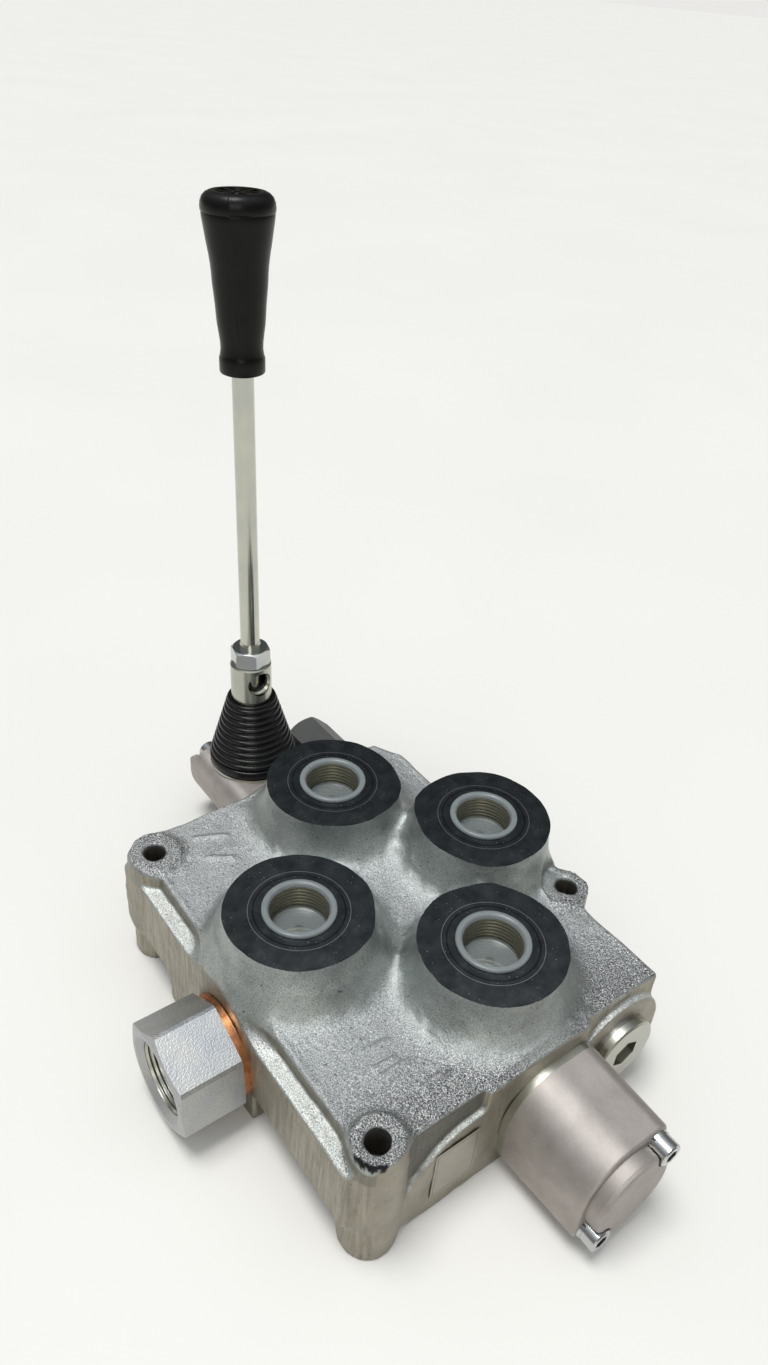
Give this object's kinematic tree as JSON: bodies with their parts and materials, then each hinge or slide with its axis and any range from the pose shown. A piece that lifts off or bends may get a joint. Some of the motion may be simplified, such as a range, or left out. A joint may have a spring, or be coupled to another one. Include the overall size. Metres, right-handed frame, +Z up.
{
  "type": "hydraulic directional valve",
  "caption": "Hand-operated hydraulic monoblock valve with threaded ports, a spring-centred spool, a booted lever with a grip, and mounting ears.",
  "frame": {"origin": "on the base plane, midway between the two work ports", "axes": "+X along the spool, from the hand lever to the spring cap; +Z up, out of the ports; -Y is the side with the inlet adapter"},
  "size_m": [0.295, 0.1977, 0.3102],
  "materials": {
    "zinc_cast": "zinc-plated casting, rough sparkling skin, machined port faces",
    "zinc_steel": "bright zinc plate, turned",
    "bright_steel": "polished hard chrome",
    "spring_steel": "drawn wire",
    "blasted_aluminium": "bead-blasted, matte, slightly warm",
    "copper": "soft copper, satin",
    "black_rubber": "moulded, slightly glossy",
    "black_plastic": "moulded, satin",
    "clear_plastic": "translucent polyethylene",
    "label_film": "thin film label, blank"
  },
  "bodies": {
    "housing": {"valve_body": "zinc_cast", "port_adapter": "zinc_steel", "adapter_washer_inner": "copper", "adapter_washer_outer": "copper", "spool_seal_front": "black_rubber", "spool_seal_rear": "black_rubber", "front_seal_plate": "zinc_steel", "rear_seal_plate": "zinc_steel", "spring_cap": "blasted_aluminium", "spring_cap_screws": "zinc_steel", "spring_cap_lock_washers": "zinc_steel", "spring_seat_inner": "zinc_steel", "spring_seat_outer": "zinc_steel", "centring_spring": "spring_steel", "lever_housing": "blasted_aluminium", "lever_housing_screws": "zinc_steel", "pivot_pin": "bright_steel", "boot_ring": "zinc_steel", "boot": "black_rubber", "socket_plug": "zinc_steel", "socket_plug_washer": "zinc_steel", "check_spring": "spring_steel", "relief_cartridge": "zinc_steel", "relief_washer": "zinc_steel", "relief_spring": "spring_steel", "relief_adjusting_screw": "zinc_steel", "relief_cap": "zinc_steel", "blank_label": "label_film"},
    "lever": {"lever_arm": "zinc_steel", "jam_nut": "zinc_steel", "lever_rod": "zinc_steel", "grip": "black_plastic"},
    "spool": {"spool": "bright_steel", "spindle_bolt": "zinc_steel"},
    "check_poppet": {"check_poppet": "bright_steel"},
    "relief_poppet": {"relief_poppet": "bright_steel"},
    "work_a_port_plug": {"work_a_port_plug": "clear_plastic"},
    "work_b_port_plug": {"work_b_port_plug": "clear_plastic"},
    "pressure_port_plug": {"pressure_port_plug": "clear_plastic"},
    "tank_port_plug": {"tank_port_plug": "clear_plastic"}
  },
  "joints": [
    {"name": "lever_tilt", "type": "hinge", "parent": "housing", "child": "lever", "pos_m": [-0.1268, 0, 0.0485], "axis": [0, 1, 0], "range_deg": [-18.5, 18.5], "stiffness_Nm_per_rad": 6, "deforming": ["boot"]},
    {"name": "spool_slide", "type": "slide", "parent": "housing", "child": "spool", "axis": [1, 0, 0], "range_m": [-0.007, 0.007], "deforming": ["centring_spring", "spring_seat_inner", "spring_seat_outer"]},
    {"name": "check_slide", "type": "slide", "parent": "housing", "child": "check_poppet", "axis": [1, 0, 0], "range_m": [0, 0.005], "stiffness_N_per_m": 400, "deforming": ["check_spring"]},
    {"name": "relief_slide", "type": "slide", "parent": "housing", "child": "relief_poppet", "axis": [-1, 0, 0], "range_m": [0, 0.002], "stiffness_N_per_m": 2000, "deforming": ["relief_spring"]},
    {"name": "work_a_plug_lift", "type": "slide", "parent": "housing", "child": "work_a_port_plug", "axis": [0, 0, 1], "range_m": [0, 0.05]},
    {"name": "work_b_plug_lift", "type": "slide", "parent": "housing", "child": "work_b_port_plug", "axis": [0, 0, 1], "range_m": [0, 0.05]},
    {"name": "pressure_plug_lift", "type": "slide", "parent": "housing", "child": "pressure_port_plug", "axis": [0, 0, 1], "range_m": [0, 0.05]},
    {"name": "tank_plug_lift", "type": "slide", "parent": "housing", "child": "tank_port_plug", "axis": [0, 0, 1], "range_m": [0, 0.05]}
  ],
  "couplings": [
    {"joint": "spool_slide", "follows": "lever_tilt", "m_per_rad": -0.0216}
  ]
}
